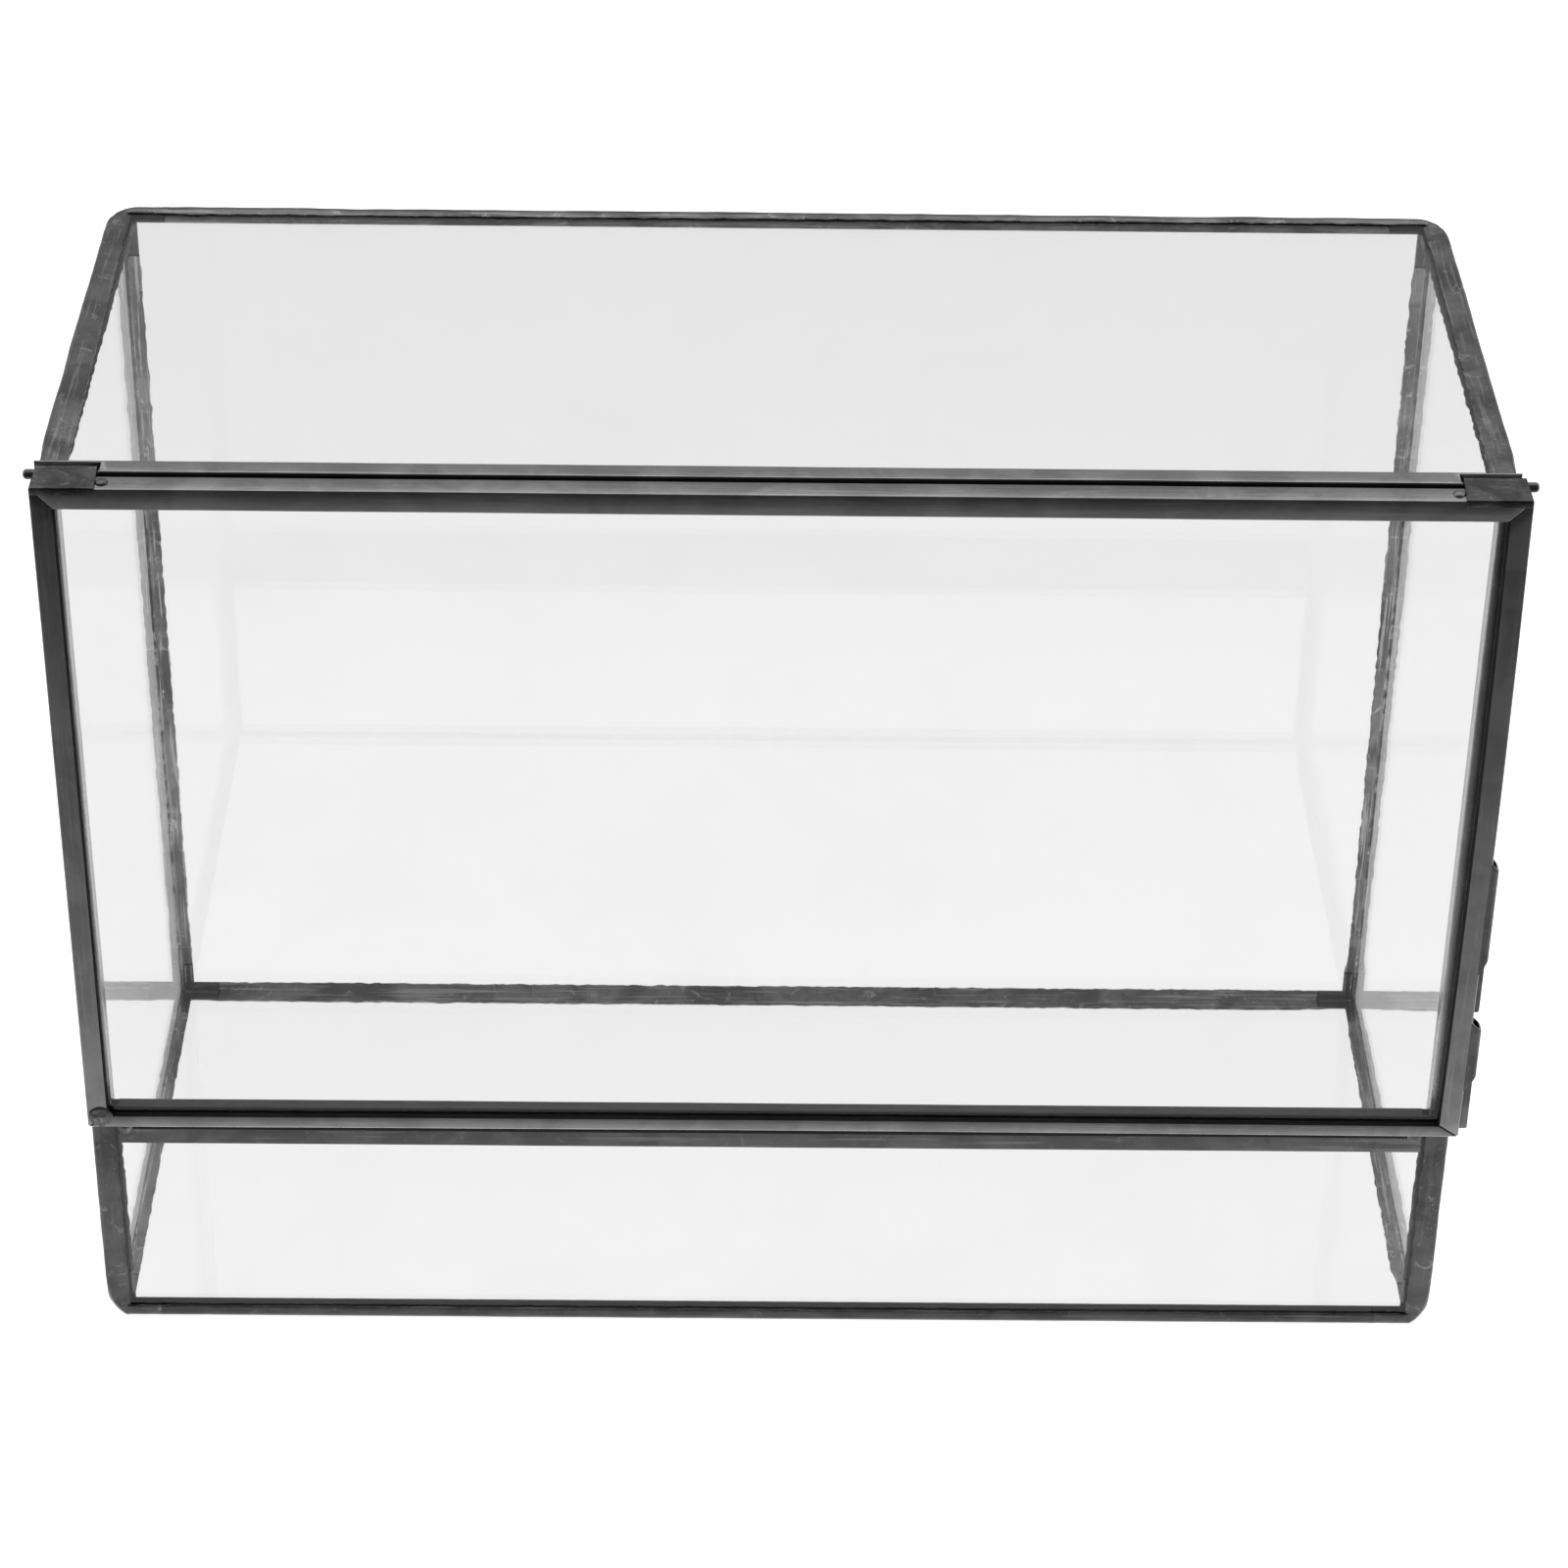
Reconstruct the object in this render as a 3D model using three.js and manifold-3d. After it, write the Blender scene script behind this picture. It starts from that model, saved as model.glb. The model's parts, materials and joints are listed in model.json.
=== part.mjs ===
import * as THREE from 'three'
import { mergeVertices } from 'three/addons/utils/BufferGeometryUtils.js'
import Module from 'manifold-3d'

// Glass display case with a front door that hangs from its top edge.
// Millimetres, X to the right, Y to the back, Z up.

// Case, measured outside its solder beads
const caseWidth = 298
const caseDepth = 126
const caseHeight = 216.4

// Glass and the foil and solder that join it
const glassThickness = 3
const paneInset = 0.5
const beadRise = 0.7
const beadLap = 1
const frontLowReach = 3.2
const frontLowRound = 2.5
const backTopReach = 2.5
const beadTip = 0.3
const beadFlat = 0.6
const beadCrownShare = 0.3
const stripWidth = 2.4
const lapStripWidth = 0.6
const backStripWidth = 2.6
const floorStripWidth = 2
const backLowStripWidth = 3.1
const floorBackStripWidth = 3.4
const stripThickness = 0.35
const cornerArm = 6.5
const coreRound = 1.8
const cornerRoundX = 6
const cornerRoundY = 8
const cornerRoundZ = 10
const edgeFoilWeb = 0.5
const edgeFoilWidth = 4.4
const edgeFoilThickness = 0.4

// Cames of the case
const cameWall = 0.7
const camePlay = 0.1
const cameCap = 1.2
const cameRound = 0.5
const postWidth = 5.2
const sillTop = 60.3
const sillHeight = 10
const topCameRise = 2.1
const topCameHeight = 6.5

// Hinge
const rodRadius = 1.05
const rodOutLeft = 2.2
const rodOutRight = 2.2
const rodTipRound = 0.35
const boreClearance = 0.3
const boreWall = 0.4
const boreFloor = 0.8
const sheetThickness = 0.5
const sheetBend = 0.4
const solderRing = 0.25
const leafWidthLeft = 12.4
const leafWidthRight = 12.8
const leafInset = 0.4
const leafLip = 1.2
const knuckleGap = 0.5
const earThickness = 0.5
const earClearance = 0.3
const earInset = 0.4
const postClearance = 0.75

// Door, as wide as the case and hung a little to the right
const doorShift = 0.6
const doorDrop = 0.5
const doorLap = 0.85
const doorGap = 0.8
const railWall = 0.9
const railPlay = 0.35
const railRound = 0.45
const sideRailFace = 4.35
const topRailFace = 4.6
const bottomRailFace = 3
const mitreGap = 0.3

// Spring clips on the right edge of the door
const clipDepth = 3.6
const clipWall = 0.45
const clipRound = 1
const lowerClipReach = 2.4
const lowerClipLift = 0.1
const lowerClipLength = 30.6
const lowerClipFrontLength = 18.2
const upperClipReach = 2
const upperClipLift = 0.7
const upperClipLength = 40.7
const upperClipFrontLength = 29
const clipTopDrop = 2.3
const clipEndRise = 3.9
const clipTipRound = 0.7

// Solder left standing on the metal
const tackRadius = 1.3
const tackHeight = 0.7
const tackGap = 0.1
const sillDropRadius = 1.6
const sillDropHeight = 0.45
const sillDropShare = 0.59
const cornerDropRadius = 2.7
const cornerDropHeight = 0.45
const cornerDropMargin = 0.2

// One overrun for all cuts
const overrun = 12

// Panes and seams
const caseHalf = caseWidth / 2
const glassHalf = caseHalf - beadRise
const glassFront = beadRise
const glassBack = caseDepth - beadRise
const glassLow = beadRise
const glassTop = caseHeight - beadRise
const edgeSetback = glassThickness + paneInset
const cornerReach = glassThickness + stripWidth
const lumpReach = cornerReach + cornerArm
const stripInside = glassThickness + stripThickness
const beadReach = edgeSetback + beadLap
const seamHalf = glassHalf - lumpReach
const sillHalf = glassHalf - cornerReach
const paneHalf = glassHalf - edgeSetback

// Hinge axis and top came; the knuckle turns clear of the ear behind it
const cameDepth = glassFront + glassThickness + camePlay + cameWall
const topCameTop = caseHeight + topCameRise
const topCameBottom = topCameTop - topCameHeight
const boreRadius = rodRadius + boreClearance
const knuckleBore = rodRadius + solderRing
const knuckleRadius = knuckleBore + sheetThickness
const axisHeight = topCameTop - boreWall - boreRadius
const axisY = cameDepth - earThickness - earClearance - knuckleRadius
const coreBottom = axisHeight - boreRadius - boreFloor
const postTop = axisHeight - knuckleRadius - postClearance

// Door and what it carries
const doorLeft = doorShift - caseHalf
const doorRight = doorShift + caseHalf
const doorBottom = sillTop - doorLap
const doorTop = topCameTop - doorDrop
const railDepth = glassThickness + 2 * (railPlay + railWall)
const doorBack = -doorGap
const doorFront = doorBack - railDepth
const leafFront = doorFront - sheetThickness
const leafTop = doorTop + sheetThickness
const rodLeft = doorLeft - rodOutLeft
const rodRight = doorRight + rodOutRight
const knuckleLeftOuter = doorLeft + leafInset
const knuckleLeftInner = knuckleLeftOuter + leafWidthLeft
const knuckleRightOuter = doorRight - leafInset
const knuckleRightInner = knuckleRightOuter - leafWidthRight
const topCameLeft = knuckleLeftInner + knuckleGap
const topCameRight = knuckleRightInner - knuckleGap
const lowerClipTip = doorBottom + lowerClipLift
const upperClipTip = lowerClipTip + lowerClipLength + upperClipLift

// The frame origin is the middle of the underside of the whole object
const clipRight = doorRight + Math.max(lowerClipReach, upperClipReach)
const shiftX = -(rodLeft + Math.max(rodRight, clipRight)) / 2
const shiftY = -(leafFront + caseDepth) / 2

// Solid tools
const wasm = await Module()
wasm.setup()

function toSolid(geometry) {
  const plain = geometry.clone()
  plain.deleteAttribute('normal')
  plain.deleteAttribute('uv')
  const merged = mergeVertices(plain)
  return new wasm.Manifold(new wasm.Mesh({
    numProp: 3,
    vertProperties: new Float32Array(merged.attributes.position.array),
    triVerts: new Uint32Array(merged.index.array)
  }))
}

function toGeometry(solid) {
  const mesh = solid.getMesh()
  const geometry = new THREE.BufferGeometry()
  const points = new Float32Array(mesh.numVert * 3)
  for (let i = 0; i < mesh.numVert; i++) {
    for (let k = 0; k < 3; k++) points[i * 3 + k] = mesh.vertProperties[i * mesh.numProp + k]
  }
  geometry.setAttribute('position', new THREE.BufferAttribute(points, 3))
  geometry.setIndex(new THREE.BufferAttribute(new Uint32Array(mesh.triVerts), 1))
  geometry.computeVertexNormals()
  return geometry
}

function subtract(geometry, ...tools) {
  let solid = toSolid(geometry)
  for (const tool of tools) solid = solid.subtract(toSolid(tool))
  return toGeometry(solid)
}

function intersect(geometry, ...tools) {
  let solid = toSolid(geometry)
  for (const tool of tools) solid = solid.intersect(toSolid(tool))
  return toGeometry(solid)
}

function join(geometry, ...others) {
  let solid = toSolid(geometry)
  for (const other of others) solid = solid.add(toSolid(other))
  return toGeometry(solid)
}

function block(x0, x1, y0, y1, z0, z1) {
  const geometry = new THREE.BoxGeometry(x1 - x0, y1 - y0, z1 - z0)
  geometry.translate((x0 + x1) / 2, (y0 + y1) / 2, (z0 + z1) / 2)
  return geometry
}

// A flat outline pulled along one axis: X takes the outline as (Y, Z),
// Y takes it as (Z, X), Z takes it as (X, Y).
const turns = { x: 1, y: -1, z: 0 }

function pull(shape, axis, from, to, curveSegments = 5) {
  const geometry = new THREE.ExtrudeGeometry(shape, { depth: to - from, bevelEnabled: false, curveSegments })
  geometry.translate(0, 0, from)
  const turn = new THREE.Quaternion()
  turn.setFromAxisAngle(new THREE.Vector3(1, 1, 1).normalize(), turns[axis] * 2 * Math.PI / 3)
  geometry.applyQuaternion(turn)
  return geometry
}

function outline(points) {
  const shape = new THREE.Shape()
  shape.moveTo(points[0][0], points[0][1])
  for (const point of points.slice(1)) {
    if (point.length === 4) shape.quadraticCurveTo(point[0], point[1], point[2], point[3])
    else shape.lineTo(point[0], point[1])
  }
  shape.closePath()
  return shape
}

// Materials, one for every mesh
function glassMaterial() {
  return new THREE.MeshStandardMaterial({
    color: 0xeef1f1, roughness: 0.06, metalness: 0, transparent: true, opacity: 0.3
  })
}

function metalMaterial(color, roughness) {
  return new THREE.MeshStandardMaterial({ color, roughness, metalness: 0.7 })
}

const beadColor = 0x56565a
const cameColor = 0x5e5f62
const railColor = 0x55565a
const leafColor = 0x3f4043
const rodColor = 0x35363a
const dropColor = 0x626367

const group = new THREE.Group()
group.name = 'display_case'
const caseGroup = new THREE.Group()
caseGroup.name = 'case'
caseGroup.position.set(shiftX, shiftY, 0)
const doorGroup = new THREE.Group()
doorGroup.name = 'door'
doorGroup.position.set(shiftX, shiftY, 0)
group.add(caseGroup, doorGroup)

function place(parent, name, geometry, material, x = 0, y = 0, z = 0) {
  const mesh = new THREE.Mesh(geometry, material)
  mesh.name = name
  mesh.position.set(x, y, z)
  parent.add(mesh)
}

// Panes of the case
place(caseGroup, 'glass_back', block(
  -paneHalf, paneHalf, glassBack - glassThickness, glassBack,
  glassLow + edgeSetback, glassTop - edgeSetback), glassMaterial())
place(caseGroup, 'glass_left', block(
  -glassHalf, glassThickness - glassHalf, glassFront + edgeSetback, glassBack - edgeSetback,
  glassLow + edgeSetback, glassTop - edgeSetback), glassMaterial())
place(caseGroup, 'glass_right', block(
  glassHalf - glassThickness, glassHalf, glassFront + edgeSetback, glassBack - edgeSetback,
  glassLow + edgeSetback, glassTop - edgeSetback), glassMaterial())
place(caseGroup, 'glass_bottom', block(
  -paneHalf, paneHalf, glassFront + edgeSetback, glassBack - edgeSetback,
  glassLow, glassLow + glassThickness), glassMaterial())
place(caseGroup, 'glass_top', block(
  -paneHalf, paneHalf, cameDepth + edgeFoilWeb, glassBack - paneInset,
  glassTop - glassThickness, glassTop), glassMaterial())
place(caseGroup, 'glass_front_lower', block(
  -paneHalf, paneHalf, glassFront, glassFront + glassThickness,
  glassLow + paneInset, sillTop - cameCap), glassMaterial())

// Foil and solder along one edge of the case: a bead outside, two strips inside,
// and grooves for two panes. inU and inV point into the case. The beads reach beadU and
// beadV along the panes outside, the strips are stripU and stripV wide inside, the panes
// end at edgeU and edgeV, and round is the rounding of the outer edge.
const plainSeam = {
  beadU: beadReach, beadV: beadReach, stripU: stripWidth, stripV: stripWidth,
  edgeU: edgeSetback, edgeV: edgeSetback, round: beadRise
}

function seamOutline(inU, inV, sizes) {
  const { beadU, beadV, stripU, stripV, edgeU, edgeV, round } = { ...plainSeam, ...sizes }
  const reachU = glassThickness + stripU
  const reachV = glassThickness + stripV
  const crown = round + beadFlat
  const hipU = crown + (beadU - crown) * beadCrownShare
  const hipV = crown + (beadV - crown) * beadCrownShare
  return outline([
    [beadU, 0], [beadU, -beadTip], [hipU, -beadRise, crown, -beadRise], [round, -beadRise],
    [-beadRise, -beadRise, -beadRise, round], [-beadRise, crown],
    [-beadRise, hipV, -beadTip, beadV],
    [0, beadV], [0, edgeV], [glassThickness, edgeV],
    [glassThickness, reachV], [stripInside, reachV], [stripInside, stripInside],
    [reachU, stripInside], [reachU, glassThickness],
    [edgeU, glassThickness], [edgeU, 0]
  ].map(point => point.map((value, i) => value * (i % 2 === 0 ? inU : inV))))
}

function seam(name, axis, inU, inV, from, to, x, y, z, sizes) {
  const shape = seamOutline(inU, inV, sizes)
  place(caseGroup, name, pull(shape, axis, from, to), metalMaterial(beadColor, 0.42), x, y, z)
}

const backLowSeam = { stripU: floorBackStripWidth, stripV: backLowStripWidth }
const frontLowSeam = {
  beadV: frontLowReach, stripU: lapStripWidth, stripV: lapStripWidth, edgeV: paneInset, round: frontLowRound
}
const backTopSeam = { beadU: backTopReach, stripU: lapStripWidth, stripV: lapStripWidth, edgeU: paneInset }
const sideLowSeam = { stripV: floorStripWidth }
const backSeam = { stripU: backStripWidth }
seam('seam_back_top', 'x', -1, -1, -seamHalf, seamHalf, 0, glassBack, glassTop, backTopSeam)
seam('seam_back_bottom', 'x', -1, 1, -seamHalf, seamHalf, 0, glassBack, glassLow, backLowSeam)
seam('seam_bottom_front', 'x', 1, 1, -seamHalf, seamHalf, 0, glassFront, glassLow, frontLowSeam)
const seamBackEnd = glassBack - lumpReach
const seamFrontEnd = glassFront + lumpReach
const seamLowEnd = glassLow + lumpReach
const seamHighEnd = glassTop - lumpReach
seam('seam_top_left', 'y', -1, 1, cameDepth, seamBackEnd, -glassHalf, 0, glassTop)
seam('seam_top_right', 'y', -1, -1, cameDepth, seamBackEnd, glassHalf, 0, glassTop)
seam('seam_bottom_left', 'y', 1, 1, seamFrontEnd, seamBackEnd, -glassHalf, 0, glassLow, sideLowSeam)
seam('seam_bottom_right', 'y', 1, -1, seamFrontEnd, seamBackEnd, glassHalf, 0, glassLow, sideLowSeam)
seam('seam_back_left', 'z', 1, -1, seamLowEnd, seamHighEnd, -glassHalf, glassBack, 0, backSeam)
seam('seam_back_right', 'z', -1, -1, seamLowEnd, seamHighEnd, glassHalf, glassBack, 0, backSeam)
seam('seam_front_left', 'z', 1, 1, seamLowEnd, sillTop, -glassHalf, glassFront, 0)
seam('seam_front_right', 'z', -1, 1, seamLowEnd, sillTop, glassHalf, glassFront, 0)

// Solder lump in a corner where three beads meet: a core with a short arm of seam along
// each edge, its outermost point rounded off
function cornerLump(seams) {
  const face = outline([
    [edgeSetback, -beadRise], [coreRound, -beadRise],
    [-beadRise, -beadRise, -beadRise, coreRound],
    [-beadRise, edgeSetback], [edgeSetback, edgeSetback]
  ])
  const core = intersect(
    pull(face, 'x', -beadRise, edgeSetback),
    pull(face, 'y', -beadRise, edgeSetback),
    pull(face, 'z', -beadRise, edgeSetback))
  const hollow = subtract(core, block(stripInside, lumpReach, stripInside, lumpReach, stripInside, lumpReach))
  const arms = Object.keys(turns).map(
    axis => pull(seamOutline(1, 1, seams[axis]), axis, glassThickness, lumpReach))
  const ball = new THREE.SphereGeometry(Math.SQRT2, 40, 28)
  const outward = beadRise / 2
  ball.scale(cornerRoundX + outward, cornerRoundY + outward, cornerRoundZ + outward)
  ball.translate(cornerRoundX, cornerRoundY, cornerRoundZ)
  const beyond = subtract(
    block(-overrun, cornerRoundX, -overrun, cornerRoundY, -overrun, cornerRoundZ), ball)
  return subtract(join(hollow, ...arms), beyond)
}

function corner(name, inX, inY, inZ, x, y, z, seams) {
  const geometry = cornerLump(seams)
  geometry.scale(inX, inY, inZ)
  if (inX * inY * inZ < 0) {
    const index = geometry.index.array
    for (let i = 0; i < index.length; i += 3) [index[i + 1], index[i + 2]] = [index[i + 2], index[i + 1]]
  }
  geometry.computeVertexNormals()
  place(caseGroup, name, geometry, metalMaterial(beadColor, 0.42), x, y, z)
}

const frontLowCorner = { x: frontLowSeam, y: sideLowSeam }
const backLowCorner = { x: backLowSeam, y: sideLowSeam, z: backSeam }
const backTopCorner = { x: backTopSeam, z: backSeam }
corner('corner_bottom_front_left', 1, 1, 1, -glassHalf, glassFront, glassLow, frontLowCorner)
corner('corner_bottom_front_right', -1, 1, 1, glassHalf, glassFront, glassLow, frontLowCorner)
corner('corner_bottom_back_left', 1, -1, 1, -glassHalf, glassBack, glassLow, backLowCorner)
corner('corner_bottom_back_right', -1, -1, 1, glassHalf, glassBack, glassLow, backLowCorner)
corner('corner_top_back_left', 1, -1, -1, -glassHalf, glassBack, glassTop, backTopCorner)
corner('corner_top_back_right', -1, -1, -1, glassHalf, glassBack, glassTop, backTopCorner)

// Foil wrapped round the front edge of the top pane
const foilHigh = glassTop + edgeFoilThickness
const foilLow = glassTop - glassThickness - edgeFoilThickness
const foilBack = cameDepth + edgeFoilWidth
place(caseGroup, 'foil_top_front', pull(outline([
  [cameDepth, foilLow], [foilBack, foilLow], [foilBack, glassTop - glassThickness],
  [cameDepth + edgeFoilWeb, glassTop - glassThickness], [cameDepth + edgeFoilWeb, glassTop],
  [foilBack, glassTop], [foilBack, foilHigh], [cameDepth, foilHigh]
]), 'x', -sillHalf, sillHalf), metalMaterial(beadColor, 0.42))

// Top front came: the barrel that the hinge rod turns in, with a thin ear behind each knuckle
const topCameShape = outline([
  [0, topCameBottom], [cameWall, topCameBottom], [cameWall, coreBottom],
  [cameDepth - cameWall, coreBottom], [cameDepth - cameWall, topCameBottom],
  [cameDepth, topCameBottom], [cameDepth, topCameTop], [cameRound, topCameTop],
  [0, topCameTop, 0, topCameTop - cameRound]
])
const bore = new THREE.Path()
bore.absarc(axisY, axisHeight, boreRadius, 0, 2 * Math.PI, true)
topCameShape.holes.push(bore)
place(caseGroup, 'came_top_front', join(
  pull(topCameShape, 'x', topCameLeft, topCameRight, 24),
  block(earInset - caseHalf, topCameLeft + cameCap, cameDepth - earThickness, cameDepth, postTop, topCameTop),
  block(topCameRight - cameCap, caseHalf - earInset, cameDepth - earThickness, cameDepth, postTop, topCameTop)
), metalMaterial(cameColor, 0.36))

// Channel came over the lower front pane
place(caseGroup, 'came_sill', pull(outline([
  [0, sillTop - sillHeight], [glassFront, sillTop - sillHeight], [glassFront, sillTop - cameCap],
  [cameDepth - cameWall, sillTop - cameCap], [cameDepth - cameWall, sillTop - sillHeight],
  [cameDepth, sillTop - sillHeight], [cameDepth, sillTop - cameRound],
  [cameDepth, sillTop, cameDepth - cameRound, sillTop],
  [cameRound, sillTop], [0, sillTop, 0, sillTop - cameRound]
]), 'x', -sillHalf, sillHalf), metalMaterial(cameColor, 0.36))

// Channel cames up both sides of the opening
function postCame(name, side) {
  const shape = outline([
    [0, cameRound], [0, cameDepth], [beadRise, cameDepth], [beadRise, cameCap],
    [postWidth - cameWall, cameCap], [postWidth - cameWall, cameDepth],
    [postWidth, cameDepth], [postWidth, cameRound],
    [postWidth, 0, postWidth - cameRound, 0],
    [cameRound, 0], [0, 0, 0, cameRound]
  ].map(point => point.map((value, i) => (i % 2 === 0 ? side * (caseHalf - value) : value))))
  place(caseGroup, name, pull(shape, 'z', sillTop, postTop), metalMaterial(cameColor, 0.36))
}
postCame('came_opening_left', -1)
postCame('came_opening_right', 1)

// A solder drop: a low dome with a flat base
function dome(radius, height) {
  const points = [new THREE.Vector2(0, 0)]
  const steps = 6
  for (let i = 0; i <= steps; i++) {
    const angle = i / steps * Math.PI / 2
    const across = i === steps ? 0 : radius * Math.cos(angle)
    points.push(new THREE.Vector2(across, height * Math.sin(angle)))
  }
  const geometry = new THREE.LatheGeometry(points, 24)
  geometry.rotateX(Math.PI / 2)
  return toGeometry(toSolid(geometry))
}

function frontDome(radius, height) {
  const geometry = dome(radius, height)
  geometry.rotateX(Math.PI / 2)
  return geometry
}

const sillDropX = sillHalf - sillDropRadius
const sillDropZ = sillTop - sillHeight * sillDropShare
place(caseGroup, 'solder_sill_left', frontDome(sillDropRadius, sillDropHeight),
  metalMaterial(dropColor, 0.42), -sillDropX, 0, sillDropZ)
place(caseGroup, 'solder_sill_right', frontDome(sillDropRadius, sillDropHeight),
  metalMaterial(dropColor, 0.42), sillDropX, 0, sillDropZ)

// Door rails: mitred channels round the door glass
function channelPoints(face) {
  return [
    [railRound, 0], [railDepth - railRound, 0], [railDepth, 0, railDepth, railRound],
    [railDepth, face], [railDepth - railWall, face], [railDepth - railWall, railWall],
    [railWall, railWall], [railWall, face], [0, face], [0, railRound], [0, 0, railRound, 0]
  ]
}

// Rail along X: outline is (Y, Z); edge is its outer side, inward is up or down
function levelRail(face, edge, inward) {
  const shape = outline(channelPoints(face).map(point => point.map((value, i) => (
    i % 2 === 0 ? doorFront + value : edge + inward * value))))
  return pull(shape, 'x', doorLeft, doorRight)
}

// Rail along Z: outline is (X, Y)
function uprightRail(face, edge, inward) {
  const shape = outline(channelPoints(face).map(point => {
    const turned = []
    for (let i = 0; i < point.length; i += 2) turned.push(edge + inward * point[i + 1], doorFront + point[i])
    return turned
  }))
  return pull(shape, 'z', doorBottom, doorTop)
}

// Cutter beyond the mitre line of one corner, towards (towardX, towardZ)
function mitreCutter(cornerX, cornerZ, faceX, faceZ, towardX, towardZ) {
  const along = new THREE.Vector2(faceX, faceZ).normalize()
  const away = new THREE.Vector2(-along.y, along.x)
  if (away.dot(new THREE.Vector2(towardX, towardZ)) < 0) away.negate()
  const start = new THREE.Vector2(cornerX, cornerZ).addScaledVector(away, -mitreGap / 2)
  const corners = [[-overrun, 0], [overrun, 0], [overrun, overrun], [-overrun, overrun]]
  const points = corners.map(([a, b]) => {
    const point = start.clone().addScaledVector(along, a).addScaledVector(away, b)
    return [point.y, point.x]
  })
  return pull(outline(points), 'y', leafFront - overrun, doorBack + overrun)
}

const topLeftMitre = [doorLeft, doorTop, sideRailFace, -topRailFace]
const topRightMitre = [doorRight, doorTop, -sideRailFace, -topRailFace]
const bottomLeftMitre = [doorLeft, doorBottom, sideRailFace, bottomRailFace]
const bottomRightMitre = [doorRight, doorBottom, -sideRailFace, bottomRailFace]

place(doorGroup, 'door_rail_top', subtract(
  levelRail(topRailFace, doorTop, -1),
  mitreCutter(...topLeftMitre, -1, -1), mitreCutter(...topRightMitre, 1, -1)
), metalMaterial(railColor, 0.36))
place(doorGroup, 'door_rail_bottom', subtract(
  levelRail(bottomRailFace, doorBottom, 1),
  mitreCutter(...bottomLeftMitre, -1, 1), mitreCutter(...bottomRightMitre, 1, 1)
), metalMaterial(railColor, 0.36))
place(doorGroup, 'door_rail_left', subtract(
  uprightRail(sideRailFace, doorLeft, 1),
  mitreCutter(...topLeftMitre, 1, 1), mitreCutter(...bottomLeftMitre, 1, -1)
), metalMaterial(railColor, 0.36))
place(doorGroup, 'door_rail_right', subtract(
  uprightRail(sideRailFace, doorRight, -1),
  mitreCutter(...topRightMitre, -1, 1), mitreCutter(...bottomRightMitre, -1, -1)
), metalMaterial(railColor, 0.36))

const paneFront = doorFront + railWall + railPlay
place(doorGroup, 'door_glass', block(
  doorLeft + railWall, doorRight - railWall, paneFront, paneFront + glassThickness,
  doorBottom + railWall, doorTop - railWall), glassMaterial())

// Hinge rod, through the top front came
const rodProfile = [
  [0, rodLeft], [rodRadius - rodTipRound, rodLeft], [rodRadius, rodLeft + rodTipRound],
  [rodRadius, rodRight - rodTipRound], [rodRadius - rodTipRound, rodRight], [0, rodRight]
].map(([radius, along]) => new THREE.Vector2(radius, along))
const rod = new THREE.LatheGeometry(rodProfile, 28)
rod.rotateZ(-Math.PI / 2)
place(doorGroup, 'hinge_rod', toGeometry(toSolid(rod)), metalMaterial(rodColor, 0.4), 0, axisY, axisHeight)

// Knuckle: sheet curled round the rod end, its leaf on the door's top rail with a short lip in front
function disc(radius) {
  const shape = new THREE.Shape()
  shape.absarc(axisY, axisHeight, radius, 0, 2 * Math.PI)
  return shape
}

function knuckle(name, from, to) {
  const leaf = pull(outline([
    [axisY, doorTop], [doorFront, doorTop], [doorFront, doorTop - leafLip],
    [leafFront, doorTop - leafLip], [leafFront, leafTop - sheetBend],
    [leafFront, leafTop, leafFront + sheetBend, leafTop], [axisY, leafTop]
  ]), 'x', from, to)
  place(doorGroup, name, subtract(
    join(leaf, pull(disc(knuckleRadius), 'x', from, to, 28)),
    pull(disc(knuckleBore), 'x', from - overrun, to + overrun, 28)
  ), metalMaterial(leafColor, 0.45))
}
knuckle('hinge_knuckle_left', knuckleLeftOuter, knuckleLeftInner)
knuckle('hinge_knuckle_right', knuckleRightInner, knuckleRightOuter)

// Solder tacks beside the knuckle leaves
const tackY = (doorFront + doorBack) / 2
place(doorGroup, 'solder_tack_left', dome(tackRadius, tackHeight), metalMaterial(dropColor, 0.42),
  knuckleLeftInner + tackGap + tackRadius, tackY, doorTop)
place(doorGroup, 'solder_tack_right', dome(tackRadius, tackHeight), metalMaterial(dropColor, 0.42),
  knuckleRightInner - tackGap - tackRadius, tackY, doorTop)
const cornerDropInset = cornerDropRadius + cornerDropMargin
place(doorGroup, 'solder_door_corner', frontDome(cornerDropRadius, cornerDropHeight),
  metalMaterial(dropColor, 0.42), doorLeft + cornerDropInset, doorFront, doorBottom + cornerDropInset)

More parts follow.
